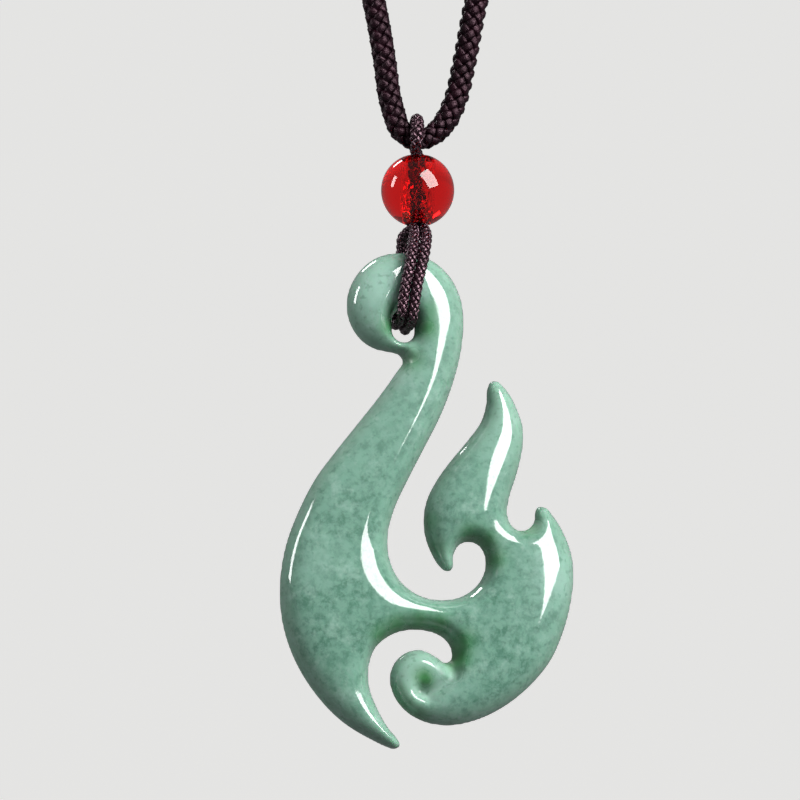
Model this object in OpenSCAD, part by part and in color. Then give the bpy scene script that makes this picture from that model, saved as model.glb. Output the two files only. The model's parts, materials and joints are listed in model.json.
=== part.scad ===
// Jade spiral pendant on a braided neck cord, with one glass bead.
// Millimetres. The nape of the neck is at the origin, Z is up, and the
// pendant hangs in front and below, with its face towards -Y.

/* [Stone] */
// Thickness over the broad middle of the stone
stone_t = 5.4; // [4.6:0.1:5.8]
// Width of the hanging hole
hole_w = 2.1; // [2.05:0.05:2.4]
// Height of the hanging hole
hole_h = 2.9; // [2.8:0.1:3.4]
// Depth of the carved valleys on each face
carve_depth = 0.9; // [0.4:0.1:1.2]

/* [Bead] */
// Diameter of the glass bead
bead_d = 6.5; // [6.2:0.1:6.8]
// Diameter of the bead's bore
bead_bore_d = 2.05; // [2.05:0.05:2.4]
// Height of the bead's middle over the hanging hole
bead_up = 11.85; // [11.6:0.05:12.0]

/* [Cords] */
// Diameter of the braided neck cord
neck_cord_d = 2.25; // [1.8:0.05:2.3]
// Diameter of the thin thread where it is free
thread_d = 1.05; // [0.8:0.05:1.05]
// Outer diameter of the knot behind the neck
knot_d = 6.6; // [6.2:0.1:8]
// Wraps of cord in the knot
knot_wraps = 6; // [4:1:8]

/* [Place] */
// Height of the hanging hole, below the nape
hang_z = -230; // [-236:1:-226]
// Depth of the hanging hole, in front of the nape
hang_y = -125; // [-130:1:-120]

/* [Hidden] */
$fn = 64;

// The hanging hole lies a little to the left of the nape's middle plane.
hang_x = -1.9;
bead_x = 1.31;
// Gap left between pieces that would touch.
gap = 0.08;

// Sides of the sections of stone and cord.
stone_sides = 20;
cord_sides = 8;
// Longest stretch of the neck cord and of the thread between two rings.
neck_pitch = 11;
thread_pitch = 1.7;

// Tables of the stone. Each row is a section across a limb of the stone, as
// [left x, left z, right x, right z, share of the full thickness], measured
// from the hanging hole.

// The hook: from the top of the head, down the arm and the back to the point.
hook_rows = [
    [-1.0,  6.1,   0.5,  6.15, 0.16],
    [-2.3,  5.7,   2.2,  5.7, 0.38],
    [-3.7,  4.7,   3.7,  4.6, 0.66],
    [-4.8,  2.6,   4.9,  2.7, 0.86],
    [-4.98, 0.6,   5.35, 0.7, 0.90],
    [-4.4, -0.9,   5.3, -1.0, 0.90],
    [-2.9, -2.2,   5.2, -2.3, 0.88],
    [-0.3, -3.3,   4.9, -4.0, 0.88],
    [-0.9, -4.9,   4.2, -6.1, 0.90],
    [-2.2, -6.8,   3.3, -8.4, 0.93],
    [-4.0, -9.2,   1.7, -11.5, 0.96],
    [-6.1, -11.9,  0.3, -14.2, 1.0],
    [-7.9, -14.3, -0.9, -16.9, 1.0],
    [-9.4, -17.4, -1.4, -19.0, 1.0],
    [-10.5, -21.0, -1.0, -21.4, 1.0],
    [-10.9, -24.4, -0.3, -24.6, 1.0],
    [-10.5, -27.9, -1.2, -27.2, 1.0],
    [-9.5, -30.5, -2.5, -29.0, 0.97],
    [-7.9, -33.0, -3.1, -31.2, 0.88],
    [-5.4, -35.6, -2.8, -33.6, 0.66],
    [-2.8, -37.2, -1.6, -35.9, 0.46],
    [-0.5, -37.75, -0.25, -37.2, 0.30]
];

// The lobe: from the barb at the right, down and round to the small curl.
lobe_rows = [
    [11.9, -16.5, 12.3, -16.35, 0.26],
    [11.5, -18.1, 13.8, -17.5, 0.48],
    [10.1, -20.1, 14.7, -19.9, 0.80],
    [8.4, -21.6, 15.15, -22.6, 0.96],
    [7.2, -22.8, 14.9, -25.4, 1.0],
    [6.0, -24.0, 13.9, -28.4, 1.0],
    [5.0, -26.0, 12.2, -31.2, 1.0],
    [4.4, -28.4, 9.9, -33.4, 0.98],
    [4.1, -30.2, 6.9, -35.0, 0.93],
    [3.3, -30.9, 3.9, -35.8, 0.88],
    [2.5, -31.2, 1.2, -35.2, 0.82],
    [1.9, -31.6, -0.6, -33.6, 0.76]
];

// The bridge: from the back of the hook across to the lobe, cut upright.
bridge_rows = [
    [-3.0, -28.6, -2.6, -20.6, 1.0],
    [-0.5, -27.5, -0.5, -22.8, 0.98],
    [1.2, -27.2, 1.2, -24.2, 0.94],
    [3.2, -27.7, 3.3, -24.65, 0.94],
    [4.2, -28.6, 5.4, -24.2, 0.97],
    [5.4, -31.0, 6.7, -23.2, 1.0],
    [8.2, -32.0, 8.4, -21.6, 1.0]
];

// The flame: from its upper point down to the lobe.
flame_rows = [
    [7.85, -5.2,  8.15, -5.15, 0.24],
    [7.6, -6.3,   8.9, -5.95, 0.44],
    [7.2, -8.4,  10.2, -8.3, 0.66],
    [6.0, -10.3, 10.6, -10.2, 0.80],
    [4.3, -12.4, 10.3, -12.4, 0.90],
    [3.0, -14.2,  9.8, -14.2, 0.94],
    [2.5, -15.9,  9.35, -16.0, 0.96],
    [3.4, -17.8,  9.4, -17.4, 0.96],
    [5.6, -19.2, 10.1, -18.3, 0.96],
    [7.1, -20.3, 11.4, -18.6, 0.96],
    [7.35, -21.7, 12.4, -20.4, 0.98],
    [6.9, -23.1, 12.8, -22.8, 1.0]
];

// The claw: from the flame's left flank down to its small point.
claw_rows = [
    [3.3, -14.1,  8.6, -17.0, 0.94],
    [2.25, -15.8, 7.5, -18.6, 0.94],
    [1.9, -17.5,  6.4, -19.4, 0.88],
    [2.1, -19.2,  5.0, -19.8, 0.76],
    [2.7, -20.7,  4.45, -20.6, 0.55],
    [3.4, -21.8,  4.3, -21.5, 0.34],
    [3.9, -22.05, 4.15, -21.95, 0.26]
];

// The small curl's disc.
curl_x = 1.6;
curl_z = -32.4;
curl_r = 2.95;
curl_t = 0.9 * stone_t;

// Valleys carved in both faces, as rows of [x, z, radius of the cutter].
head_valley = [
    [-0.2, 5.0, 0.5],
    [-0.9, 3.6, 0.8],
    [-1.2, 2.2, 1.0],
    [-1.1, 0.9, 1.2],
    [-0.4, -0.2, 1.3],
    [0.7, -1.3, 1.1],
    [1.2, -2.6, 0.6]
];
curl_valley = [
    [1.5, -31.7, 0.75],
    [2.2, -32.3, 0.65],
    [2.3, -33.0, 0.55],
    [3.2, -33.2, 0.55],
    [4.1, -32.4, 0.6],
    [4.4, -31.2, 0.7]
];

// Route of the thin thread. One thread runs twice round the head of the stone
// and once over the neck cord, with both of its ends hidden in the bead.
// One leg of it, from the hanging hole up into the bead, as rows of
// [middle of the pair of legs x, half the distance between the two,
// how far the right one lies over the left one, y, z, thickness,
// how far the pair behind the stone lies to the left of the front one].
leg_rows = [
    [0.02, 0.4, -0.22, 0, -0.25, 0.74, 0],
    [0.02, 0.41, -0.22, -1.8, -0.25, 0.77, 0],
    [0, 0.46, -0.2, -2.75, 0.15, 0.87, 0],
    [0.06, 0.5, -0.14, -3.2, 1.3, 0.95, 0],
    [0.34, 0.51, 0, -3.25, 3.1, 0.97, 0.05],
    [0.8, 0.52, 0, -3.15, 5.1, 0.99, 0.15],
    [1.14, 0.53, 0, -2.45, 6.8, 1, 0.35],
    [1.35, 0.5, 0, -1.4, 7.85, 0.92, 0.65],
    [1.32, 0.42, 0, -0.58, 8.6, 0.77, 0.12],
    [1.31, 0.39, 0, -0.41, 9.6, 0.74, 0],
    [1.31, 0.39, 0, -0.41, 11.6, 0.74, 0]
];
// The loop over the neck cord, from the bead's right back to its left front,
// as [x, y, z, thickness].
loop_rows = [
    [1.70,  0.41, 14.3, 0.74],
    [1.56,  0.82, 15.1, 0.82],
    [1.32,  1.46, 15.7, 0.98],
    [1.20,  1.74, 16.5, 1.12],
    [1.24,  1.30, 17.5, 1.12],
    [1.22,  0,    18.15, 1.06],
    [1.10, -1.32, 17.55, 1.12],
    [0.98, -1.76, 16.5, 1.20],
    [0.98, -1.50, 15.75, 1.02],
    [0.98, -0.78, 15.1, 0.80],
    [0.94, -0.41, 14.3, 0.74]
];

// Route of the neck cord's right half over the chest, from the knot behind
// the neck, as [x, y, z] from the nape. The left half is its mirror image.
neck_rows = [
    [0,    0,    0],
    [10,   0,    0],
    [27,  -3,   -1],
    [46,  -12,  -5],
    [58.5, -28, -15],
    [62,  -49,  -32],
    [58,  -70,  -55],
    [49,  -88,  -82],
    [38,  -102, -111],
    [26.5, -112, -141],
    [15.5, -119.5, -170],
    [8,   -123.5, -190]
];
// The bend that carries the thread, from the right arm down to the lowest
// point and up the left arm, as [x, z, share of the full thickness] from the
// hanging hole. The thread squeezes the cord there.
bend_rows = [
    [6.5,  28.7,  1],
    [5.42, 23.1,  1],
    [4.65, 19.9,  1],
    [3.8,  18.1,  1],
    [3.0,  17.15, 0.96],
    [2.1,  16.55, 0.88],
    [1.1,  16.35, 0.84],
    [0.35, 16.65, 0.88],
    [-0.3, 17.35, 0.96],
    [-0.8, 18.7,  1],
    [-1.2, 20.2,  1],
    [-1.6, 23.1,  1],
    [-2.6, 28.7,  1]
];

function unit(v) = v / norm(v);
function hang(p) = p + [hang_x, hang_y, hang_z];

// A smooth curve through the rows: at each row it runs along a mean of the two
// chords, weighted so that the shorter chord counts more. Columns past the
// third, such as a thickness, are carried along. A ring's curve is closed.
function place(row) = [row[0], row[1], row[2]];
function reach(a, b) = max(norm(place(b) - place(a)), 0.001);
function lean(a, b, c) =
    let (before = reach(a, b), after = reach(b, c))
    ((b - a) / before * after + (c - b) / after * before) / (before + after);
function between(a, b, from, to, t) =
    let (long = reach(a, b))
    (2 * t * t * t - 3 * t * t + 1) * a + (t * t * t - 2 * t * t + t) * long * from
    + (3 * t * t - 2 * t * t * t) * b + (t * t * t - t * t) * long * to;
function neighbour(rows, i, ring) =
    let (n = len(rows)) rows[ring ? (i + n) % n : min(max(i, 0), n - 1)];
function smooth_route(rows, pitch, ring) = [
    let (spans = ring ? len(rows) : len(rows) - 1)
    for (i = [0 : spans - 1])
        let (
            a = neighbour(rows, i - 1, ring),
            b = neighbour(rows, i, ring),
            c = neighbour(rows, i + 1, ring),
            d = neighbour(rows, i + 2, ring),
            from = lean(a, b, c),
            to = lean(b, c, d),
            steps = ceil(reach(b, c) / pitch)
        )
        for (k = [0 : steps - 1]) between(b, c, from, to, k / steps),
    if (!ring) rows[len(rows) - 1]
];

// A tube along a smooth route of rows [x, y, z, thickness]: closed on itself
// for a ring, with flat ends otherwise. No stretch of the route runs along the
// vector across.
module tube(rows, across, sides, ring) {
    n = len(rows);
    spans = ring ? n : n - 1;
    points = [
        for (i = [0 : n - 1])
            let (
                along = unit(place(neighbour(rows, i + 1, ring)) - place(neighbour(rows, i - 1, ring))),
                u = unit(cross(along, across)),
                v = cross(along, u)
            )
            for (k = [0 : sides - 1])
                place(rows[i]) + rows[i][3] / 2 * (cos(360 * k / sides) * u + sin(360 * k / sides) * v)
    ];
    walls = [
        for (i = [0 : spans - 1])
            for (k = [0 : sides - 1])
                let (
                    a = i * sides + k,
                    b = i * sides + (k + 1) % sides,
                    c = ((i + 1) % n) * sides + (k + 1) % sides,
                    d = ((i + 1) % n) * sides + k
                )
                for (face = [[a, d, c], [a, c, b]]) face
    ];
    ends = ring ? [] : [
        [for (k = [0 : sides - 1]) k],
        [for (k = [sides - 1 : -1 : 0]) (n - 1) * sides + k]
    ];
    polyhedron(points, concat(walls, ends));
}

// One section of the stone: a rounded lens, flat over its middle, between the
// two edge points of its row.
lens_edge = 2.5;
function lens(row) =
    let (
        middle = [row[0] + row[2], row[1] + row[3]] / 2,
        half = [row[2] - row[0], row[3] - row[1]] / 2,
        thick = stone_t * row[4] / 2
    )
    [
        for (k = [0 : stone_sides - 1])
            let (
                a = 360 * (k + 0.5) / stone_sides,
                s = sign(cos(a)) * pow(abs(cos(a)), 2 / lens_edge),
                t = sign(sin(a)) * pow(abs(sin(a)), 2 / lens_edge)
            )
            [middle[0] + half[0] * s, thick * t, middle[1] + half[1] * s]
    ];

// A row between two rows of a limb, on a smooth curve through four of them.
function limb_row(rows, i, t) =
    let (
        n = len(rows),
        a = rows[max(0, i - 1)],
        b = rows[i],
        c = rows[min(n - 1, i + 1)],
        d = rows[min(n - 1, i + 2)]
    )
    0.5 * (2 * b + (c - a) * t + (2 * a - 5 * b + 4 * c - d) * t * t
        + (3 * b - a - 3 * c + d) * t * t * t);

// A limb of the stone: one closed solid lofted through all of its sections.
module limb(rows, steps) {
    sections = [
        for (i = [0 : len(rows) - 2])
            for (k = [0 : steps - 1]) lens(limb_row(rows, i, k / steps)),
        lens(rows[len(rows) - 1])
    ];
    last = len(sections) - 1;
    n = stone_sides;
    walls = [
        for (i = [0 : last - 1])
            for (k = [0 : n - 1])
                let (
                    a = i * n + k,
                    b = i * n + (k + 1) % n,
                    c = a + n,
                    d = b + n
                )
                for (face = [[a, d, c], [a, b, d]]) face
    ];
    caps = [
        [for (k = [n - 1 : -1 : 0]) k],
        [for (k = [0 : n - 1]) last * n + k]
    ];
    polyhedron([for (section = sections) for (point = section) point], concat(walls, caps));
}

// A valley in the front face: balls on the surface, hulled in pairs.
module valley(rows) {
    for (i = [0 : len(rows) - 2])
        hull()
            for (row = [rows[i], rows[i + 1]])
                translate([row[0], -stone_t / 2 - row[2] + carve_depth, row[1]])
                    sphere(r = row[2], $fn = 12);
}

// The hanging hole, with a bevelled rim at each face.
module hanging_hole() {
    rim_y = 1.5;
    rim_w = hole_w + 1.3;
    hull()
        for (z = [0, hole_w - hole_h])
            translate([0, 0, z])
                rotate([90, 0, 0])
                    cylinder(d = hole_w, h = 2 * stone_t, center = true, $fn = 24);
    for (face = [0, 1])
        mirror([0, face, 0])
            hull()
                for (z = [0, hole_w - hole_h])
                    translate([0, -rim_y, z])
                        rotate([90, 0, 0])
                            cylinder(d1 = hole_w, d2 = rim_w, h = stone_t / 2 - rim_y, $fn = 24);
}

module jade_pendant() {
    color([0.46, 0.64, 0.54])
    translate(hang([0, 0, 0]))
    difference() {
        union() {
            limb(hook_rows, 2);
            limb(lobe_rows, 2);
            limb(bridge_rows, 1);
            limb(flame_rows, 2);
            limb(claw_rows, 1);
            translate([curl_x, 0, curl_z])
                scale([curl_r, curl_t / 2, curl_r])
                    rotate([90, 0, 0])
                        sphere(r = 1, $fn = 24);
        }
        hanging_hole();
        for (side = [0, 1])
            mirror([0, side, 0]) {
                valley(head_valley);
                valley(curl_valley);
            }
    }
}

module glass_bead() {
    rim = 0.45;
    color([0.75, 0.05, 0.08])
    translate(hang([bead_x, 0, bead_up]))
    difference() {
        sphere(d = bead_d);
        cylinder(d = bead_bore_d, h = bead_d + 1, center = true);
        for (end = [0, 1])
            mirror([0, 0, end])
                translate([0, 0, sqrt(pow(bead_d, 2) - pow(bead_bore_d, 2)) / 2 - rim])
                    cylinder(d1 = bead_bore_d, d2 = bead_bore_d + 4 * rim, h = 2 * rim);
    }
}

// The thread, down its right front leg and up its right back one, over the neck
// cord, and down and up its left legs.
function leg_point(row, side, face) = concat(
    hang([row[0] + side * row[1] + (face - 1) / 2 * row[6], face * row[3], row[4] + side * row[2]]),
    [row[5] * thread_d / 1.05]
);
function leg_down(side) = [for (i = [len(leg_rows) - 1 : -1 : 0]) leg_point(leg_rows[i], side, 1)];
function leg_up(side) = [for (i = [1 : len(leg_rows) - 1]) leg_point(leg_rows[i], side, -1)];
module thread() {
    over = [for (row = loop_rows) concat(hang(place(row)), [row[3] * thread_d / 1.05])];
    rows = concat(leg_down(1), leg_up(1), over, leg_down(-1), leg_up(-1));
    color([0.2, 0.1, 0.14])
    tube(smooth_route(rows, thread_pitch, false), [1, 0, 0], cord_sides, false);
}

module neck_cord() {
    arms = len(neck_rows) - 1;
    rows = concat(
        [for (i = [0 : arms]) concat(neck_rows[i], [neck_cord_d])],
        [for (row = bend_rows) concat(hang([row[0], 0, row[1]]), [row[2] * neck_cord_d])],
        [for (i = [arms : -1 : 1]) concat([-neck_rows[i][0], neck_rows[i][1], neck_rows[i][2]], [neck_cord_d])]
    );
    color([0.2, 0.1, 0.14])
    tube(smooth_route(rows, neck_pitch, true), unit([0, 0.86, -0.51]), cord_sides, true);
}

// The knot that joins the cord's two ends behind the neck: close wraps of the
// same cord round it.
module back_knot() {
    wrap_d = (knot_d - neck_cord_d) / 2 - 2 * gap;
    pitch = 0.92 * wrap_d;
    long = pitch * (knot_wraps - 1);
    color([0.2, 0.1, 0.14])
    rotate([0, 90, 0])
    difference() {
        union() {
            for (i = [0 : knot_wraps - 1])
                translate([0, 0, i * pitch - long / 2])
                    rotate_extrude()
                        translate([(knot_d - wrap_d) / 2, 0])
                            circle(d = wrap_d, $fn = 32);
            cylinder(d = knot_d - wrap_d, h = long, center = true);
        }
        cylinder(d = neck_cord_d + 4 * gap, h = long + 2 * wrap_d, center = true);
    }
}

jade_pendant();
glass_bead();
thread();
neck_cord();
back_knot();
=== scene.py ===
import json
import math

import bpy
import numpy as np
from mathutils import Matrix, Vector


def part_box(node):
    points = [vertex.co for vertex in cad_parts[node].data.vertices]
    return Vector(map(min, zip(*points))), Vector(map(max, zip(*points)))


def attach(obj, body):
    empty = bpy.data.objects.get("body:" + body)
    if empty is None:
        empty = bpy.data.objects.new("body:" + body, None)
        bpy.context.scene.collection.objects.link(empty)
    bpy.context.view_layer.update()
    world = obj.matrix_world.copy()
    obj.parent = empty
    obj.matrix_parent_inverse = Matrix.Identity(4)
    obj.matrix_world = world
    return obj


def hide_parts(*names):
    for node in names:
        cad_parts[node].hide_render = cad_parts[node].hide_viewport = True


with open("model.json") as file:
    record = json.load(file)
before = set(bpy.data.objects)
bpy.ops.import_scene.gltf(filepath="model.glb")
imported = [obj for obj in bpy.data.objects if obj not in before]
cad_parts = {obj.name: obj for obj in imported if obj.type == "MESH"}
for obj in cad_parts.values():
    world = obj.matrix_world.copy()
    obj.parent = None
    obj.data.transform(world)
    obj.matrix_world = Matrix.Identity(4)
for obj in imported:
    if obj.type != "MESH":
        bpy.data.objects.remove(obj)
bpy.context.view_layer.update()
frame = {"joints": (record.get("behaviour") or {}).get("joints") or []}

# The frame
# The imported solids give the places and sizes. Tables below are in millimetres from the hanging hole, which is
# also the pivot that the stone swings about, or from the nape where a cord's route goes round the neck.
MM = 0.001
swing = [joint for joint in frame["joints"] if joint["name"] == "stone_swing"][0]
hole = np.array(swing["pos_m"])


# The stone
# One piece of grey-green jade: a hook whose back turns over into a lobe with a barb, a flame, a claw and a
# small curl. It is sawn from a slab, rounded over on both faces, carved at the head and the curl, and
# polished until it mirrors the lamps. The thread goes through the hole in its head.

# Its outline, clockwise from the hook's point, as [x, z] from the hanging hole.
hook_back = [(-0.3, -37.65), (-0.75, -37.9), (-1.5, -37.7), (-2.6, -37.2), (-5.45, -35.5), (-8.0, -32.8),
             (-9.75, -29.8), (-10.65, -26.95), (-10.9, -23.7), (-10.4, -20.2), (-9.15, -16.8), (-7.75, -14.1),
             (-6.0, -11.7), (-4.0, -9.15), (-1.95, -6.5), (-0.7, -4.7), (0.0, -3.45)]
head_edge = [(-0.3, -2.95), (-1.15, -2.7), (-2.4, -2.45), (-3.5, -1.85), (-4.45, -0.7), (-4.95, 0.75),
             (-4.9, 2.35), (-4.05, 4.2), (-2.4, 5.65), (-0.2, 6.15), (2.4, 5.6), (4.2, 4.05), (5.15, 2.0),
             (5.35, -0.2)]
arm_and_bay = [(5.15, -2.4), (4.5, -5.1), (3.4, -8.1), (1.75, -11.4), (0.35, -14.15), (-0.85, -16.8),
               (-1.4, -19.1), (-1.2, -21.3), (-0.4, -22.95), (1.2, -24.25), (3.3, -24.75), (5.4, -24.3),
               (6.75, -23.2), (7.35, -21.85), (7.3, -20.65), (6.8, -19.8), (5.9, -19.45), (5.05, -19.7),
               (4.5, -20.5), (4.38, -21.1), (4.42, -21.7)]
claw_edge = [(4.15, -22.1), (3.75, -22.08), (3.3, -21.72), (2.5, -20.45), (2.0, -19.05), (1.85, -17.6),
             (2.15, -15.85), (3.05, -14.05), (4.3, -12.3), (5.85, -10.4), (7.0, -8.75), (7.45, -7.2),
             (7.55, -5.85)]
flame_edge = [(7.85, -5.2), (8.35, -5.15), (8.95, -5.65), (9.6, -6.5), (10.15, -7.65), (10.6, -8.95),
              (10.7, -10.3), (10.45, -12.0), (10.0, -13.7), (9.4, -15.6), (9.25, -17.0), (9.6, -17.95),
              (10.35, -18.45), (11.15, -18.3), (11.75, -17.55), (11.8, -16.75)]
lobe_edge = [(12.05, -16.3), (12.55, -16.3), (13.4, -17.15), (14.35, -18.75), (15.0, -20.6), (15.15, -22.45),
             (14.9, -24.75), (14.2, -27.4), (13.05, -29.95), (11.25, -32.15), (8.9, -34.05), (6.3, -35.3),
             (3.9, -35.75), (1.75, -35.4), (0.1, -34.4), (-0.85, -33.05), (-1.15, -31.6), (-0.6, -30.15),
             (0.45, -29.35), (1.65, -29.2), (2.85, -29.75)]
inner_bay = [(3.8, -30.3), (4.3, -30.0), (4.3, -29.0), (3.75, -28.15), (2.65, -27.55), (1.15, -27.35),
             (-0.25, -27.5), (-1.45, -28.05), (-2.45, -28.95), (-3.05, -30.5), (-3.05, -32.4),
             (-2.25, -34.55), (-1.2, -36.3), (-0.55, -37.05)]
outline = np.array(hook_back + head_edge + arm_and_bay + claw_edge + flame_edge + lobe_edge + inner_bay)

crown = 2.78         # half thickness that the domed faces would reach far from the outline
crown_reach = 1.19   # how far in from the outline the dome has four fifths of its height
crown_start = 1.37   # over 1 it rises less steeply at the outline
wall = 0.24          # half height of the sawn wall under the dome
wall_ease = 0.1      # how far in the wall's edge is eased
hole_half_width = 1.05
hole_drop = 0.8      # how far the hole is drawn out downwards
hole_round = 0.45    # how far the hole's rim takes to reach the face
net_pitch = 0.16     # of the grid that the stone's skin is worked out on
outline_steps = 6    # along the curve from one point of the outline to the next
depth_limits = -0.4, 8  # beyond these a depth makes no difference to the shape
hole_limits = -0.4, 9  # nor does a distance from the hole beyond these

# Where the faces are domed over a broader band than crown_reach, as [x, z, how much broader, width].
broad_bands = [(-2.2, -21.0, 0.48, 4.0), (3.6, -1.5, 0.10, 4.0), (8.6, -9.5, 0.32, 4.0),
               (-4.5, -33.0, 0.33, 4.0)]
# Strokes of the carver's wheel, as [x, z, share of the thickness taken, width].
head_valley = np.array([(0.9, 5.4, 0.0, 0.7), (0.75, 4.4, 0.06, 0.8), (0.3, 3.1, 0.18, 0.95),
                        (-0.15, 1.7, 0.34, 1.1), (-0.35, 0.3, 0.40, 1.2), (0.3, -0.9, 0.34, 1.1),
                        (0.8, -1.9, 0.2, 0.8), (1.57, -2.25, 0.03, 0.5), (0.87, -3.55, 0.13, 0.5)])
curl_groove = np.array([(4.0, -30.1, 0.23, 0.49), (4.24, -31.2, 0.4, 0.64), (4.13, -31.73, 0.3, 0.51),
                        (2.13, -33.35, 0.3, 0.64)])
saddle = np.array([(9.45, -16.6, 0.0, 1.4), (9.2, -18.0, 0.16, 2.0), (8.9, -19.85, 0.16, 2.0),
                   (8.65, -21.2, 0.0, 1.4)])
# Round dips of the same wheel in the curl.
curl_dips = [(1.4, -32.85, 0.47, 0.61), (1.14, -31.91, 0.29, 1.88)]
# Where the stone is left fuller than its width alone would make it, at the hook's point, as [x, z, share
# added to the square of its thickness, width].
tip_fill = np.array([(-6.2, -29.5, 0.0, 2.0), (-5.4, -32.0, 0.06, 2.0), (-4.2, -34.3, 0.12, 1.7),
                     (-2.6, -36.0, 0.2, 1.4), (-0.8, -37.4, 0.3, 1.2)])
# Recesses that the polishing wheel does not reach, and some rims, as [x, z, how matt they stay and how
# deep a green shade is painted in them, width].
recesses_and_painted_shade = [(0.5, -3.6, 0.6, 1.0), (4.9, -28.6, 0.7, 1.1), (4.5, -30.2, 0.9, 1.0), (1.5, -31.6, 0.8, 0.8),
            (-1.4, -0.6, 0.8, 0.9), (1.8, -0.8, 0.8, 0.9), (-1.2, 1.0, 0.4, 0.8), (2.2, 0.8, 0.4, 0.9),
            (11.0, -18.3, 0.5, 0.9), (5.6, -19.0, 0.6, 0.9), (7.2, -19.6, 0.7, 0.9), (7.9, -21.2, 0.7, 0.9),
            (3.0, -27.1, 0.8, 0.9), (1.2, -26.9, 0.8, 0.9), (-0.7, -27.2, 0.8, 0.9), (-2.2, -28.1, 0.7, 0.9),
            (1.9, -32.1, 0.6, 0.6), (-0.8, -32.9, 0.4, 0.9), (-0.2, -34.2, 0.5, 0.9), (1.2, -35.2, 0.5, 0.9),
            (2.1, -17.9, 0.4, 0.8), (2.6, -20.2, 0.4, 0.8)]
# Spots that it only brings to satin, as [x, z, how matt, width].
satin_spots = [(3.4, -30.95, 1.0, 0.6), (4.1, -31.5, 1.0, 0.7), (11.6, -18.2, 0.9, 0.6),
               (0.65, -3.1, 0.8, 0.4)]
# Spots painted paler where more light falls on the stone, as [x, z, how pale, width].
painted_light_spots = [(1.2, -31.8, 1.0, 2.9), (13.2, -22.5, 0.8, 2.4), (12.0, -26.5, 0.2, 2.4),
               (-2.2, 3.0, 0.85, 2.6), (9.0, -9.0, 0.3, 3.0), (-0.5, -4.4, 0.8, 1.5), (-7.9, -22.0, 0.3, 2.2)]


def smooth_ring(points, steps):
    """A closed cubic through the points: at each point it runs along the mean of the two chords, where the
    shorter chord counts more."""
    before = np.roll(points, 1, 0)
    after = np.roll(points, -1, 0)
    back = np.linalg.norm(points - before, axis=1)[:, None]
    ahead = np.linalg.norm(after - points, axis=1)[:, None]
    lean = ((points - before) / back * ahead + (after - points) / ahead * back) / (back + ahead)
    t = np.arange(steps)[None, :, None] / steps
    start, end, reach = points[:, None], after[:, None], ahead[:, None]
    curve = ((2 * t**3 - 3 * t**2 + 1) * start + (t**3 - 2 * t**2 + t) * reach * lean[:, None]
             + (3 * t**2 - 2 * t**3) * end + (t**3 - t**2) * reach * np.roll(lean, -1, 0)[:, None])
    return curve.reshape(-1, 2)


def depth_inside(x, z, ring):
    """How far a point lies inside the ring, negative outside: two over the sum, along the ring's edges as the
    point sees them, of tan(half the edge's angle) times (1 / one end's distance + 1 / the other's). Close to
    an edge that is the distance to it, and between two edges it is their product over their sum."""
    points = np.stack([x.ravel(), z.ravel()], 1)
    total = np.zeros(len(points))
    block = 8000         # points at a time, so that the arrays stay small
    least_far, least_turn = 1e-6, 1e-9
    for first in range(0, len(points), block):
        to_ring = ring[None] - points[first:first + block, None]
        far = np.maximum(np.hypot(to_ring[..., 0], to_ring[..., 1]), least_far)
        to_next = np.roll(to_ring, -1, 1)
        far_next = np.roll(far, -1, 1)
        turn = to_ring[..., 0] * to_next[..., 1] - to_ring[..., 1] * to_next[..., 0]
        along = (to_ring * to_next).sum(-1)
        turn = np.where(np.abs(turn) < least_turn, least_turn, turn)
        half_turn = np.where(along > 0, turn / (far * far_next + along), (far * far_next - along) / turn)
        total[first:first + block] = (half_turn * (1 / far + 1 / far_next)).sum(1)
    return (2 / total).reshape(x.shape)


def stroke(x, z, rows):
    """The strongest of the bells set along the rows' line, eight to a row: strength * exp(-(distance /
    width) ** 2)."""
    steps = np.linspace(0, len(rows) - 1, 8 * len(rows))
    line = np.stack([np.interp(steps, np.arange(len(rows)), column) for column in rows.T], 1)
    strongest = np.zeros(x.shape)
    for px, pz, strength, width in line:
        strongest = np.maximum(strongest, strength * np.exp(-((x - px)**2 + (z - pz)**2) / width**2))
    return strongest


def spots(x, z, rows):
    """The sum of the bells set at the rows' places: strength * exp(-(distance / width) ** 2)."""
    return sum(strength * np.exp(-((x - px)**2 + (z - pz)**2) / width**2) for px, pz, strength, width in rows)


def half_thickness_squared(x, z):
    """The square of the stone's half thickness over [x, z]. It is crown ** 2 * (1 - exp(-(depth / reach) **
    crown_start)), the dome, plus wall ** 2 * (1 - exp(-depth / wall_ease)), the wall under it, times 1 + the
    filling of the hook's point, times 1 - exp(-distance to the hanging hole / hole_round), times (1 - the
    carver's strokes and dips) squared. The reach is crown_reach and more in the broad bands. It is negative
    outside the stone."""
    ring = smooth_ring(outline, outline_steps)[::-1]
    depth = np.clip(depth_inside(x, z, ring), *depth_limits)
    reach = crown_reach + spots(x, z, broad_bands)
    body = crown**2 * (1 - np.exp(-(np.maximum(depth, 0) / reach)**crown_start))
    body += wall**2 * (1 - np.exp(-depth / wall_ease))
    body *= 1 + stroke(x, z, tip_fill)
    down = np.clip(-z, 0, hole_drop)
    from_hole = np.hypot(x, z + down) - hole_half_width
    body *= 1 - np.exp(-np.clip(from_hole, *hole_limits) / hole_round)
    for rows in (head_valley, curl_groove, saddle):
        body *= (1 - stroke(x, z, rows))**2
    for dip in curl_dips:
        body *= (1 - spots(x, z, [dip]))**2
    return body


def look_up(field, low, pitch, x, z):
    """The field's value at [x, z]: the four grid values round it, each weighted by how near it is."""
    across = np.clip((x - low[0]) / pitch, 0, field.shape[1] - 1.001)
    up = np.clip((z - low[1]) / pitch, 0, field.shape[0] - 1.001)
    i, j = across.astype(int), up.astype(int)
    a, b = across - i, up - j
    return ((field[j, i] * (1 - a) + field[j, i + 1] * a) * (1 - b)
            + (field[j + 1, i] * (1 - a) + field[j + 1, i + 1] * a) * b)


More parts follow.
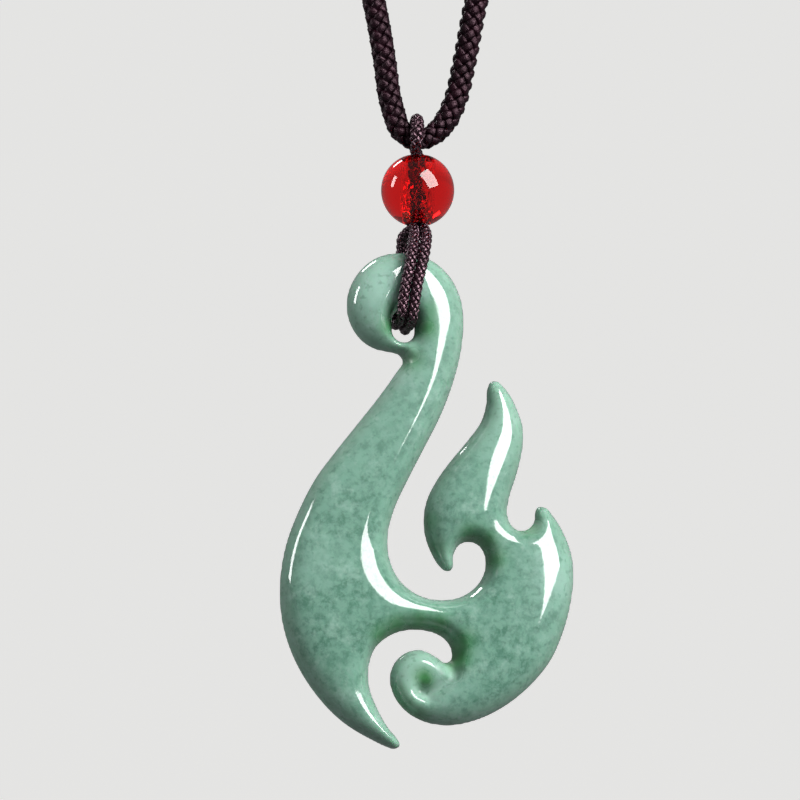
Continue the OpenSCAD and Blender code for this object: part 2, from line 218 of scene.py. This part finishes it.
def skin_of(solid, low, pitch):
    """Points and four-sided faces of the surface where solid - y * y is zero, and its normals. One point
    stands in each cell of the grid that the surface crosses, and one face crosses each edge of the grid that
    it cuts. The points are then evened out among their neighbours and brought back to the surface along its
    slope."""
    least_square = 0.05  # of the slope, so that a flat spot throws no point far
    longest_move = 0.1   # as a share of the slope
    evened = 0.6         # how far a point goes to the middle of its neighbours
    first_moves, evenings, later_moves = 6, 4, 2
    cells_over = 2.5     # rows of cells over the crown, and under it
    reach = math.sqrt(solid.max()) + cells_over * pitch
    levels = np.arange(-reach, reach, pitch)
    inside = solid[:, None, :] > (levels**2)[None, :, None]
    corners = sum(inside[a:a - 1 or None, b:b - 1 or None, c:c - 1 or None].astype(np.int8)
                  for a in (0, 1) for b in (0, 1) for c in (0, 1))
    cells = np.argwhere((corners > 0) & (corners < 8))
    number = -np.ones(corners.shape, int)
    number[tuple(cells.T)] = np.arange(len(cells))
    points = np.stack([low[0] + (cells[:, 2] + 0.5) * pitch, levels[0] + (cells[:, 1] + 0.5) * pitch,
                       low[1] + (cells[:, 0] + 0.5) * pitch], 1)
    faces = []
    for axis in range(3):
        near = np.delete(inside, -1, axis)
        far = np.delete(inside, 0, axis)
        edges = np.argwhere(near != far)
        goes_out = near[tuple(edges.T)]
        one, two = [(1, 2), (2, 0), (0, 1)][axis]
        ring = []
        for step_one, step_two in ((1, 1), (0, 1), (0, 0), (1, 0)):
            cell = edges.copy()
            cell[:, one] -= step_one
            cell[:, two] -= step_two
            ring.append(number[tuple(cell.T)])
        ring = np.stack(ring, 1)
        faces.append(np.where(goes_out[:, None], ring[:, ::-1], ring))
    faces = np.concatenate(faces)
    slope_z, slope_x = np.gradient(solid, pitch)
    ends = np.concatenate([faces, np.roll(faces, -1, 1)], 1).reshape(-1, 2, 4)
    ends = ends.transpose(0, 2, 1).reshape(-1, 2)
    links = np.bincount(ends[:, 0], minlength=len(points)).astype(float)

    def settle(points, times):
        """The points moved to the surface along its slope, by their height over it divided by the slope's
        square, and the slope there."""
        for _ in range(times):
            x, y, z = points.T
            height = look_up(solid, low, pitch, x, z) - y * y
            lean = np.stack([look_up(slope_x, low, pitch, x, z), -2 * y,
                             look_up(slope_z, low, pitch, x, z)], 1)
            move = height / np.maximum((lean**2).sum(1), least_square)
            points = points - np.clip(move, -longest_move, longest_move)[:, None] * lean
        return points, lean

    points, lean = settle(points, first_moves)
    for _ in range(evenings):
        middle = np.stack([np.bincount(ends[:, 0], points[ends[:, 1], k], len(points)) for k in range(3)], 1)
        points, lean = settle((1 - evened) * points + evened * middle / links[:, None], later_moves)
    points, lean = settle(points, later_moves)
    return points, faces, -lean / np.linalg.norm(lean, axis=1, keepdims=True)


def piece(name, points, faces, body, slot, *nodes):
    """A smooth mesh object at the origin, with its points in millimetres put into the frame in metres. It
    rides on the body and stands for the CAD nodes, which it hides. The slot is not used. The faces are
    lists of points."""
    mesh = bpy.data.meshes.new(name)
    mesh.from_pydata((points * MM).tolist(), [], faces)
    mesh.shade_smooth()
    made = bpy.data.objects.new(name, mesh)
    bpy.context.scene.collection.objects.link(made)
    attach(made, body)
    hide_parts(*nodes)
    return made


def mark(made, name, amounts):
    """Gives each point of the piece its amount, from 0 to 1, which the material reads by that name."""
    made.data.attributes.new(name, "FLOAT", "POINT").data.foreach_set("value", amounts.astype(np.float32))


# How far the grid reaches round the outline. It is no multiple of the steps between the outline's points, so
# that the grid misses them, and with it no edge of the skin is shared by more than two faces.
margin = 0.659
low = outline.min(0) - margin
spans = np.ceil((outline.max(0) + margin - low) / net_pitch).astype(int)
grid_x, grid_z = np.meshgrid(low[0] + np.arange(spans[0]) * net_pitch,
                             low[1] + np.arange(spans[1]) * net_pitch)
solid = half_thickness_squared(grid_x, grid_z)
skin, skin_faces, skin_normals = skin_of(solid, low, net_pitch)
stone = piece("jade_stone", skin + hole / MM, skin_faces.tolist(), "stone", "jade", "jade_pendant")
stone.data.normals_split_custom_set_from_vertices(skin_normals.tolist())
# How thin the stone is at each point, from 0 over its full middle to 1 at a sharp tip.
fullness = look_up(np.maximum(solid, 0) / solid.max(), low, net_pitch, skin[:, 0], skin[:, 2])
mark(stone, "thin", 1 - np.sqrt(fullness))
# How far it lies in a recess or on a rim with painted shade, in a satin spot and in a painted light
# spot, each from 0 to 1.
for name, rows in (("recess", recesses_and_painted_shade), ("satin", satin_spots), ("pale", painted_light_spots)):
    mark(stone, name, np.minimum(spots(skin[:, 0], skin[:, 2], rows), 1))


class Shade:
    """A socket of a material. + and * add Math nodes, with a number on either side, and node() adds any
    other kind of node."""

    def __init__(self, tree, socket=None):
        self.tree = tree
        self.socket = socket

    def node(self, kind, settings, sockets, out):
        """A node of that kind. Its settings come first, then the values or links of its sockets by
        identifier, and the output named out is returned."""
        made = self.tree.nodes.new(kind)
        for key, value in settings.items():
            setattr(made, key, value)
        for key, value in sockets.items():
            socket = [s for s in made.inputs if s.identifier == key][0]
            if isinstance(value, Shade):
                self.tree.links.new(value.socket, socket)
            else:
                socket.default_value = value
        return Shade(self.tree, [s for s in made.outputs if s.identifier == out][0])

    def math(self, operation, first, second):
        """A Math node of the two."""
        settings = {"operation": operation}
        return self.node("ShaderNodeMath", settings, {"Value": first, "Value_001": second}, "Value")

    def __add__(self, other):
        return self.math("ADD", self, other)

    def __mul__(self, other):
        return self.math("MULTIPLY", self, other)

    __radd__ = __add__
    __rmul__ = __mul__

    def noise(self, scale, detail, rough=0.5, warp=0.0):
        """Noise over this place."""
        sockets = {"Vector": self, "Scale": scale, "Detail": detail, "Roughness": rough, "Distortion": warp}
        return self.node("ShaderNodeTexNoise", {}, sockets, "Fac")

    def between(self, low, high):
        """0 below low, 1 above high, and a smooth rise between them."""
        sockets = {"Value": self, "From Min": low, "From Max": high}
        return self.node("ShaderNodeMapRange", {"interpolation_type": "SMOOTHSTEP"}, sockets, "Result")

    def blend(self, first, second):
        """The first colour where this is 0 and the second where it is 1."""
        sockets = {"Factor_Float": self, "A_Color": first, "B_Color": second}
        return self.node("ShaderNodeMix", {"data_type": "RGBA"}, sockets, "Result_Color")


def finish(name, fixed, varying):
    """A material on the Principled shader: fixed are its constant sockets, and varying(start) returns the
    linked ones, a bump's height among them."""
    material = bpy.data.materials.new(name)
    material.use_nodes = True
    shader = [n for n in material.node_tree.nodes if n.type == "BSDF_PRINCIPLED"][0]
    for key, value in fixed.items():
        shader.inputs[key].default_value = value
    start = Shade(material.node_tree)
    for key, value in varying(start).items():
        if key == "Height":
            height, strength, distance = value
            sockets = {"Height": height, "Strength": strength, "Distance": distance}
            key, value = "Normal", start.node("ShaderNodeBump", {}, sockets, "Normal")
        material.node_tree.links.new(value.socket, shader.inputs[key])
    return material


# Painted light: the colour goes from deeper green at the foot to paler green at the head, which the
# light falls on more brightly.
foot_z, head_z = hole[2] - 0.030, hole[2] + 0.005


def jade_looks(start):
    """Cloudy grey-green: broad clouds, a finer felt of crystals, sparse dark flecks and pale wisps. Painted
    light makes it a lighter green in the painted light spots and towards the head, and where the stone is
    thin for the light that shines through it. Painted shade makes it a deep green in the recesses and on some
    rims. The recesses and the satin spots are less polished."""
    place = start.node("ShaderNodeTexCoord", {}, {}, "Object")
    height = start.node("ShaderNodeSeparateXYZ", {}, {"Vector": place}, "Z")
    clouds = place.noise(260.0, 3.0, 0.6, 0.5).between(0.36, 0.64)
    felt = place.noise(1050.0, 5.0, 0.68, 0.2).between(0.33, 0.62)
    wisps = place.noise(560.0, 4.0, 0.66, 0.2).between(0.50, 0.72)
    flecks = place.noise(2000.0, 2.0, 0.5).between(0.54, 0.74)
    thin, recess, satin, pale = (start.node("ShaderNodeAttribute", {"attribute_name": name}, {}, "Fac")
                                 for name in ("thin", "recess", "satin", "pale"))
    green = clouds.blend((0.050, 0.136, 0.096, 1), (0.088, 0.202, 0.150, 1))
    green = (felt * 0.8).blend(green, (0.150, 0.292, 0.228, 1))
    # Painted light: paler towards the head, which the light falls on more brightly.
    green = (height.between(foot_z, head_z) * 0.45).blend(green, (0.220, 0.364, 0.302, 1))
    # Painted light: paler in the spots where more light falls.
    green = (pale * 0.75).blend(green, (0.285, 0.445, 0.385, 1))
    # Painted light: lighter where the stone is thin, for light that shines through it.
    green = (thin.between(0.10, 0.70) * 0.5).blend(green, (0.245, 0.405, 0.315, 1))
    green = (wisps * 0.45).blend(green, (0.270, 0.415, 0.355, 1))
    green = (flecks * 0.35).blend(green, (0.036, 0.112, 0.074, 1))
    # Painted shade: a deep green in the recesses and on some rims.
    green = (recess * 0.85).blend(green, (0.014, 0.170, 0.024, 1))
    polish = recess * 0.4 + satin * 0.85 + felt * 0.03 + 0.035
    grain = felt * 0.6 + clouds * 0.4
    return {"Base Color": green, "Roughness": polish, "Height": (grain, 0.02, 0.0001)}


jade_fixed = {"Subsurface Weight": 0.45, "Subsurface Radius": (0.7, 1.5, 1.0), "Subsurface Scale": 0.0009,
              "IOR": 1.66}
stone.data.materials.append(finish("polished_jade", jade_fixed, jade_looks))


# The bead
# A drilled round bead of clear red glass, which all four strands of the thread pass through. It was pressed
# and tumbled, so its outside is a mirror, and its bore is left ground and a little rough.
bead_low, bead_high = (np.array(corner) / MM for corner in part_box("glass_bead"))
bead_middle = (bead_low + bead_high) / 2
bead_radius = (bead_high - bead_low)[0] / 2
bore_radius = 1.025
rim_round = 0.12     # radius between the outside and the bore
ground_reach = 0.1   # how far the ground glass goes out from the bore
bead_around = 128
outside_rings, rim_rings, bore_rings = 72, 14, 26


def turned(profile, around):
    """A closed profile of [radius, height] carried once round the upright axis: [r * cos(a), r * sin(a),
    h]."""
    angles = np.arange(around) / around * 2 * math.pi
    r, h = profile.T[:, :, None]
    points = np.stack([r * np.cos(angles), r * np.sin(angles), h + 0 * angles], -1)
    return points.reshape(-1, 3), grid_faces(len(profile), around, rows_close=True)


def grid_faces(rows, columns, rows_close=False):
    """Four-sided faces of a grid of points numbered row by row. Each row is joined round, and the last row
    is joined to the first where the rows close."""
    row = np.arange(rows if rows_close else rows - 1)[:, None]
    column = np.arange(columns)[None]
    next_row, next_column = (row + 1) % rows, (column + 1) % columns
    corners = [row * columns + column, row * columns + next_column,
               next_row * columns + next_column, next_row * columns + column]
    return np.stack([c.ravel() for c in corners], 1)


def bead_profile():
    """The outside as an arc of the bead's radius, a rim as an arc of rim_round that touches the outside and
    the bore, the bore as a straight line, and the lower rim."""
    rim_r = bore_radius + rim_round
    rim_h = math.sqrt((bead_radius - rim_round)**2 - rim_r**2)
    reach = math.atan2(rim_h, rim_r)
    outside = np.linspace(-reach, reach, outside_rings)
    upper = np.linspace(reach, math.pi, rim_rings)[1:]
    bore = np.linspace(rim_h, -rim_h, bore_rings)[1:-1]
    arc = np.stack([bead_radius * np.cos(outside), bead_radius * np.sin(outside)], 1)
    rim = np.stack([rim_r + rim_round * np.cos(upper), rim_h + rim_round * np.sin(upper)], 1)
    wall = np.stack([0 * bore + bore_radius, bore], 1)
    return np.concatenate([arc, rim, wall, rim[::-1] * [1, -1]])


bead_points, bead_faces = turned(bead_profile(), bead_around)
bead = piece("red_bead", bead_points + bead_middle, bead_faces.tolist(), "necklace", "red_glass",
             "glass_bead")
mark(bead, "ground", np.hypot(*bead_points[:, :2].T) < bore_radius + ground_reach)


def glass_looks(start):
    """Clear red outside, ground and paler in the bore."""
    bore = start.node("ShaderNodeAttribute", {"attribute_name": "ground"}, {}, "Fac")
    colour = bore.blend((0.62, 0.003, 0.003, 1), (0.92, 0.035, 0.014, 1))
    place = start.node("ShaderNodeTexCoord", {}, {}, "Object")
    marks = place.noise(1300.0, 1.0)
    return {"Base Color": colour, "Roughness": bore * 0.22 + 0.005, "Height": (marks * bore, 0.8, 0.0006)}


glass_fixed = {"Transmission Weight": 1.0, "IOR": 1.52}
bead.data.materials.append(finish("red_glass", glass_fixed, glass_looks))


# The thread
# One thin nylon thread, braided from eight yarns. It goes twice through the hole in the head and once over
# the neck cord, and its two ends are melted together inside the bead.

# One leg of it, from the hole up into the bead, as [middle of the pair of legs x, half the distance between
# the two, how far the right one lies over the left one, y, z, share of the thickness, how far the pair behind
# the stone lies to the left of the front one].
leg_rows = np.array([
    [0.02, 0.4, -0.22, 0, -0.25, 0.74, 0], [0.02, 0.41, -0.22, -1.8, -0.25, 0.77, 0],
    [0, 0.46, -0.2, -2.75, 0.15, 0.87, 0], [0.06, 0.5, -0.14, -3.2, 1.3, 0.95, 0],
    [0.34, 0.51, 0, -3.25, 3.1, 0.97, 0.05], [0.8, 0.52, 0, -3.15, 5.1, 0.99, 0.15],
    [1.14, 0.53, 0, -2.45, 6.8, 1, 0.35], [1.35, 0.5, 0, -1.4, 7.85, 0.92, 0.65],
    [1.32, 0.42, 0, -0.58, 8.6, 0.77, 0.12], [1.31, 0.39, 0, -0.41, 9.6, 0.74, 0],
    [1.31, 0.39, 0, -0.41, 11.6, 0.74, 0]])
# The loop over the neck cord, as [x, y, z, share of the thickness].
loop_rows = np.array([
    [1.70, 0.41, 14.3, 0.74], [1.56, 0.82, 15.1, 0.82], [1.32, 1.46, 15.7, 0.98], [1.20, 1.74, 16.5, 1.12],
    [1.24, 1.30, 17.5, 1.12], [1.22, 0, 18.15, 1.06], [1.10, -1.32, 17.55, 1.12], [0.98, -1.76, 16.5, 1.20],
    [0.98, -1.50, 15.75, 1.02], [0.98, -0.78, 15.1, 0.80], [0.94, -0.41, 14.3, 0.74]])
thread_wide = 1.13   # where its share of the thickness is 1
thread_twist = 2.7   # along the thread for one turn of a yarn
thread_steps = 30    # of its route, for one turn of a yarn
# The hanging hole's place as a row, which changes no share of the thickness.
at_hole = np.append(hole / MM, 0)


def leg(side, face):
    """One leg's rows as [x, y, z, share]: side is 1 for the right one, face 1 for the front of the stone."""
    middle, half, lift, y, z, share, behind = leg_rows.T
    rows = np.stack([middle + side * half + (face - 1) / 2 * behind, face * y, z + side * lift, share], 1)
    return rows + at_hole


def smooth_route(rows, pitch, closed=False):
    """Rows [x, y, z, share] at even steps of about pitch along the cubic through them. At each row the cubic
    runs along the mean of the two chords, where the shorter chord counts more."""
    samples = 60         # of the cubic between two rows, for its length
    if closed:
        rows = np.concatenate([rows[-1:], rows, rows[:2]])
    else:
        rows = np.concatenate([rows[:1], rows, rows[-1:]])
    reach = np.maximum(np.linalg.norm(np.diff(rows[:, :3], axis=0), axis=1), 0.001)[:, None]
    back, ahead = reach[:-1], reach[1:]
    lean = np.diff(rows, axis=0) / reach
    lean = (lean[:-1] * ahead + lean[1:] * back) / (back + ahead)
    t = np.linspace(0, 1, samples, endpoint=False)[None, :, None]
    start, end, long = rows[1:-2, None], rows[2:-1, None], reach[1:-1, None]
    curve = ((2 * t**3 - 3 * t**2 + 1) * start + (t**3 - 2 * t**2 + t) * long * lean[:-1, None]
             + (3 * t**2 - 2 * t**3) * end + (t**3 - t**2) * long * lean[1:, None])
    curve = np.concatenate([curve.reshape(-1, 4), rows[-2:-1]])
    gone = np.concatenate([[0], np.cumsum(np.linalg.norm(np.diff(curve[:, :3], axis=0), axis=1))])
    even = np.linspace(0, gone[-1], int(gone[-1] / pitch) + 1)
    return np.stack([np.interp(even, gone, column) for column in curve.T], 1), gone[-1]


def unit(vectors):
    """Each vector divided by its length."""
    return vectors / np.linalg.norm(vectors, axis=-1, keepdims=True)


# The braid of every cord here. The shares are of the cord's thickness.
yarns_each_way = 4
yarn_sides = 6       # of a yarn's section
yarn_half_width = 0.19
yarn_half_height = 0.078
yarn_swing = 0.085   # how far a yarn swings out and in
core_sides = 8       # of the core's section
core_radius = 0.33
core_step = 6        # of the route's rows, from one ring of the core to the next


def yarns(route, wide, turns, across):
    """Yarns braided round a route of rows [x, y, z, share]. Half of them turn one way round it and half the
    other, at angles 2 pi (turns * t + k / 4) and their opposites. The distance from the route's middle swings
    with cos(2 pi 4 turns t), out for one half while in for the other, so that each yarn goes over one and
    under the next. A yarn's section is a flat oval that lies along the surface."""
    count = len(route)
    middle, share = route[:, :3], route[:, 3:]
    ahead, behind = np.concatenate([middle[1:], middle[-1:]]), np.concatenate([middle[:1], middle[:-1]])
    along = unit(ahead - behind)
    u = unit(np.cross(along, across))
    v = np.cross(along, u)
    t = np.arange(count)[:, None] / (count - 1)
    flat, thick, swing_out = yarn_half_width * wide, yarn_half_height * wide, yarn_swing * wide
    ring_radius = wide / 2 - thick - swing_out
    points = []
    for way in (1, -1):
        for k in range(yarns_each_way):
            angle = way * 2 * math.pi * (turns * t + k / yarns_each_way)
            out = np.cos(angle) * u + np.sin(angle) * v
            radius = ring_radius + way * swing_out * np.cos(2 * yarns_each_way * math.pi * turns * t)
            line = middle + share * radius * out
            heading = unit(np.gradient(line, axis=0))
            side = unit(np.cross(heading, out))
            upward = np.cross(side, heading)
            a = (np.arange(yarn_sides) / yarn_sides * 2 * math.pi)[None, :, None]
            section = flat * np.cos(a) * side[:, None] + thick * np.sin(a) * upward[:, None]
            points.append(line[:, None] + share[:, None] * section)
    faces = grid_faces(count, yarn_sides)
    walls = np.concatenate([faces[:, ::-1] + k * count * yarn_sides for k in range(2 * yarns_each_way)])
    return np.stack(points), walls


def core_of(route, wide, across):
    """A plain tube inside the yarns, so that no light comes through between them."""
    rows = route[::core_step]
    middle = rows[:, :3]
    along = unit(np.gradient(middle, axis=0))
    u = unit(np.cross(along, across))
    v = np.cross(along, u)
    a = (np.arange(core_sides) / core_sides * 2 * math.pi)[None, :, None]
    ring = np.cos(a) * u[:, None] + np.sin(a) * v[:, None]
    points = middle[:, None] + core_radius * wide * rows[:, 3:, None] * ring
    return points, grid_faces(len(rows), core_sides)


def cord_piece(name, route, wide, turns, across, slot, node):
    """A braided cord as one mesh: its yarns, its core and their end faces."""
    points, walls = yarns(route, wide, turns, across)
    count = points.shape[1]
    core, core_walls = core_of(route, wide, across)
    core_first = points.size // 3
    every = np.concatenate([points.reshape(-1, 3), core.reshape(-1, 3)])
    faces = walls.tolist() + (core_walls[:, ::-1] + core_first).tolist()
    for k in range(2 * yarns_each_way):
        first = k * count * yarn_sides
        last = first + (count - 1) * yarn_sides
        faces.append(list(range(first, first + yarn_sides)))
        faces.append(list(range(last + yarn_sides - 1, last - 1, -1)))
    core_last = core_first + (len(core) - 1) * core_sides
    faces.append(list(range(core_first + core_sides - 1, core_first - 1, -1)))
    faces.append(list(range(core_last, core_last + core_sides)))
    return piece(name, every, faces, "necklace", slot, node)


def nylon_looks(start, dull, pink):
    """Near-black purple yarn. Noise makes some filaments pinker and some duller. dull is added to the
    roughness of all, and pink is how much of the dye's brightness they keep."""
    place = start.node("ShaderNodeTexCoord", {}, {}, "Object")
    fibre = place.noise(9000.0, 2.0).between(0.35, 0.7)
    patch = place.noise(700.0, 2.0).between(0.4, 0.65)
    colour = (fibre * pink).blend((0.0016, 0.0004, 0.001, 1), (0.018, 0.003, 0.008, 1))
    colour = (patch * 0.5 * pink).blend(colour, (0.050, 0.008, 0.022, 1))
    worn = place.noise(2300.0, 2.0).between(0.45, 0.55)
    gloss = fibre * 0.08 + worn * 0.16 + (0.06 + dull)
    return {"Base Color": colour, "Roughness": gloss, "Height": (fibre, 0.45, 0.00004)}


thread_fixed = {"Specular IOR Level": 1.0, "Specular Tint": (1.0, 0.62, 0.77, 1)}
thread_nylon = finish("glossy_nylon", thread_fixed, lambda start: nylon_looks(start, 0.0, 0.25))
cord_fixed = {"Specular IOR Level": 0.28, "Specular Tint": (1.0, 0.62, 0.77, 1)}
cord_nylon = finish("dull_nylon", cord_fixed, lambda start: nylon_looks(start, 0.18, 0.2))

thread_rows = np.concatenate([leg(1, 1)[::-1], leg(1, -1)[1:], loop_rows + at_hole,
                              leg(-1, 1)[::-1], leg(-1, -1)[1:]])
thread_route, thread_long = smooth_route(thread_rows, thread_twist / thread_steps)
thread = cord_piece("braided_thread", thread_route, thread_wide, thread_long / thread_twist,
                    np.array([1.0, 0, 0]), "thread_nylon", "thread")
thread.data.materials.append(thread_nylon)


# The neck cord
# The same nylon braid, about twice as thick and duller. It lies round the neck as one closed loop, and the
# thread squeezes it where it hangs. It is made as a right and a left half that meet face to face, under the
# thread in front and inside the knot behind.

# Its right half from the nape, as [x, y, z] from the nape. The left half is its mirror image.
neck_rows = np.array([
    [0, 0, 0], [10, 0, 0], [27, -3, -1], [46, -12, -5], [58.5, -28, -15], [62, -49, -32], [58, -70, -55],
    [49, -88, -82], [38, -102, -111], [26.5, -112, -141], [15.5, -119.5, -170], [8, -123.5, -190]])
# The bend that carries the thread, as [x, z, share of the thickness] from the hanging hole.
bend_rows = np.array([
    [6.5, 28.7, 1], [5.42, 23.1, 1], [4.65, 19.9, 1], [3.8, 18.1, 1], [3.0, 17.15, 0.96], [2.1, 16.55, 0.88],
    [1.1, 16.35, 0.84], [0.35, 16.65, 0.88], [-0.3, 17.35, 0.96], [-0.8, 18.7, 1], [-1.2, 20.2, 1],
    [-1.6, 23.1, 1], [-2.6, 28.7, 1]])
cord_wide = 2.25
cord_twist = 4.4     # along the cord for one turn of a yarn
cord_steps = 24      # of its route, for one turn of a yarn
cord_across = unit(np.array([0, 0.86, -0.51]))  # never along the cord, so that its sections have a side

bend = np.stack([bend_rows[:, 0], 0 * bend_rows[:, 0], bend_rows[:, 1], bend_rows[:, 2]], 1)
right_half = np.column_stack([neck_rows, np.ones(len(neck_rows))])
left_half = (right_half * [-1, 1, 1, 1])[:0:-1]
neck_route, neck_long = smooth_route(np.concatenate([right_half, bend + at_hole, left_half]),
                                     cord_twist / cord_steps, closed=True)
neck_turns = round(neck_long / cord_twist)
lowest = int(np.argmin(neck_route[:, 2]))
for name, first, last in (("neck_cord_right", 0, lowest), ("neck_cord_left", lowest, len(neck_route) - 1)):
    half = cord_piece(name, neck_route[first:last + 1], cord_wide,
                      neck_turns * (last - first) / (len(neck_route) - 1), cord_across,
                      "cord_nylon", "neck_cord")
    half.data.materials.append(cord_nylon)


# The knot behind the neck
# The cord's two ends are laid together and bound with close wraps of the same cord, which slide along it to
# change the length of the loop.
knot_low, knot_high = (np.array(corner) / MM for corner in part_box("back_knot"))
wraps = 6
wrap_wide = 2.015    # pulled tight, the cord is a little thinner
wrap_steps = 48      # round one wrap
wrap_radius = (knot_high - knot_low)[2] / 2 - wrap_wide / 2
wrap_angle = np.arange(0, wraps - 1 + 1e-9, 1 / wrap_steps) * 2 * math.pi
wrap_run = ((knot_high - knot_low)[0] / 2 - wrap_wide / 2) * np.linspace(-1, 1, len(wrap_angle))
wrap_rows = np.stack([wrap_run, wrap_radius * np.cos(wrap_angle), wrap_radius * np.sin(wrap_angle),
                      0 * wrap_run + 1], 1)
wrap_route, wrap_long = smooth_route(wrap_rows, cord_twist / cord_steps)
knot = cord_piece("nape_knot", wrap_route, wrap_wide, round(wrap_long / cord_twist), np.array([1.0, 0, 0]),
                  "cord_nylon", "back_knot")
knot.data.materials.append(cord_nylon)


# The studio
# A pale floor that rises into a pale wall all round, one large soft lamp in front and to the right, a smaller
# one at the left, and a small one over the back of the left shoulder. The camera is a long lens, turned a
# little to the left of the stone's face and a little below it.
view_azimuth, view_elevation = math.radians(-8), math.radians(-8.2)
view_wide = 70.65    # of the picture at the stone, in millimetres
view_far = 0.75      # of the camera from the stone, in metres
picture_middle = hole + np.array([-0.27, 0, -6.96]) * MM
back = np.array([math.sin(view_azimuth) * math.cos(view_elevation),
                 -math.cos(view_azimuth) * math.cos(view_elevation), math.sin(view_elevation)])
right = np.array([math.cos(view_azimuth), math.sin(view_azimuth), 0])
up = np.cross(back, right)


def aimed(thing, place, target, level):
    """The object stands at place with its -Z towards the target and its X along level."""
    z = unit(place - target)
    x = unit(level - z * (level @ z))
    y = np.cross(z, x)
    turn = np.eye(4)
    turn[:3, :3] = np.stack([x, y, z], 1)
    turn[:3, 3] = place
    thing.matrix_world = Matrix(turn.tolist())
    bpy.context.scene.collection.objects.link(thing)


camera = bpy.data.cameras.new("camera")
camera.sensor_width = 36
camera.lens = camera.sensor_width * view_far / (view_wide * MM)
camera.clip_start, camera.clip_end = 0.01, 50
camera_object = bpy.data.objects.new("camera", camera)
aimed(camera_object, picture_middle + back * view_far, picture_middle, right)
bpy.context.scene.camera = camera_object


lamp_far = 0.7       # of each lamp from the middle of what it lights, in metres
lit_middle = hole + np.array([0, 0, -0.012])


def lamp(name, direction, long, short, slant, radiance, colour):
    """A soft rectangular lamp. Its direction and the slant of its long side are given as the camera sees
    them: to the right, up and towards the camera."""
    seen = np.stack([right, up, back])
    light = bpy.data.lights.new(name, "AREA")
    light.shape = "RECTANGLE"
    light.size, light.size_y = long, short
    light.energy = radiance * math.pi * long * short
    light.color = colour
    thing = bpy.data.objects.new(name, light)
    thing.visible_camera = False
    place = lit_middle + unit(np.array(direction)) @ seen * lamp_far
    aimed(thing, place, lit_middle, np.array(slant) @ seen)


lamp("key", (0.574, 0.582, 0.576), 0.69, 0.46, (0.567, -0.811, 0.149), 12.5, (1.0, 0.99, 0.97))
lamp("left", (-0.93, 0.38, 0.02), 0.31, 0.15, (0, 1, 0), 11.0, (1.0, 1.0, 1.0))
lamp("shoulder", (-0.42, 0.62, -0.66), 0.16, 0.10, (1, 0.6, 0), 12.0, (1.0, 1.0, 1.0))

# The floor and wall in metres: a profile of [radius, height] carried round the stone.
floor_drop = -0.42
floor_rings, floor_around = 61, 96
glow_reach = 4.0     # in front of the stone the floor is dark, and behind it bright
wall_profile = np.array([(0.0, 0.0), (3.6, 0.0), (4.3, 0.1), (4.9, 0.45), (5.2, 1.0), (5.3, 2.0), (5.3, 6.0)])
fine = np.linspace(0, len(wall_profile) - 1, floor_rings)
wall_r, wall_h = (np.interp(fine, np.arange(len(wall_profile)), column) for column in wall_profile.T)
wall_r = np.maximum(wall_r, 0.001)
around = np.arange(floor_around) / floor_around * 2 * math.pi
bowl = np.stack([wall_r[:, None] * np.cos(around), wall_r[:, None] * np.sin(around) + hole[1],
                 wall_h[:, None] + floor_drop + 0 * around], -1).reshape(-1, 3)
floor_mesh = bpy.data.meshes.new("floor")
floor_faces = grid_faces(floor_rings, floor_around).tolist()
floor_mesh.from_pydata(bowl.tolist(), [], floor_faces + [list(range(floor_around))])
floor_mesh.shade_smooth()
floor = bpy.data.objects.new("floor", floor_mesh)
bpy.context.scene.collection.objects.link(floor)
floor.visible_glossy = floor.visible_diffuse = False


def floor_looks(start):
    """Pale all over, with a painted glow of its own, brighter behind the stone than behind the camera."""
    place = start.node("ShaderNodeTexCoord", {}, {}, "Object")
    y = start.node("ShaderNodeSeparateXYZ", {}, {"Vector": place}, "Y")
    glow = y.between(-glow_reach, glow_reach)
    return {"Emission Color": glow.blend((0.06, 0.06, 0.062, 1), (0.62, 0.62, 0.612, 1))}


floor_fixed = {"Base Color": (0.70, 0.695, 0.68, 1), "Roughness": 0.9, "Specular IOR Level": 0.1,
               "Emission Strength": 1.0}
floor_mesh.materials.append(finish("pale_floor", floor_fixed, floor_looks))

world = bpy.data.worlds.new("studio")
world.use_nodes = True
world.node_tree.nodes["Background"].inputs["Color"].default_value = (0.20, 0.20, 0.203, 1)
bpy.context.scene.world = world
bpy.context.scene.view_settings.view_transform = "Standard"
bpy.context.scene.cycles.use_denoising = True
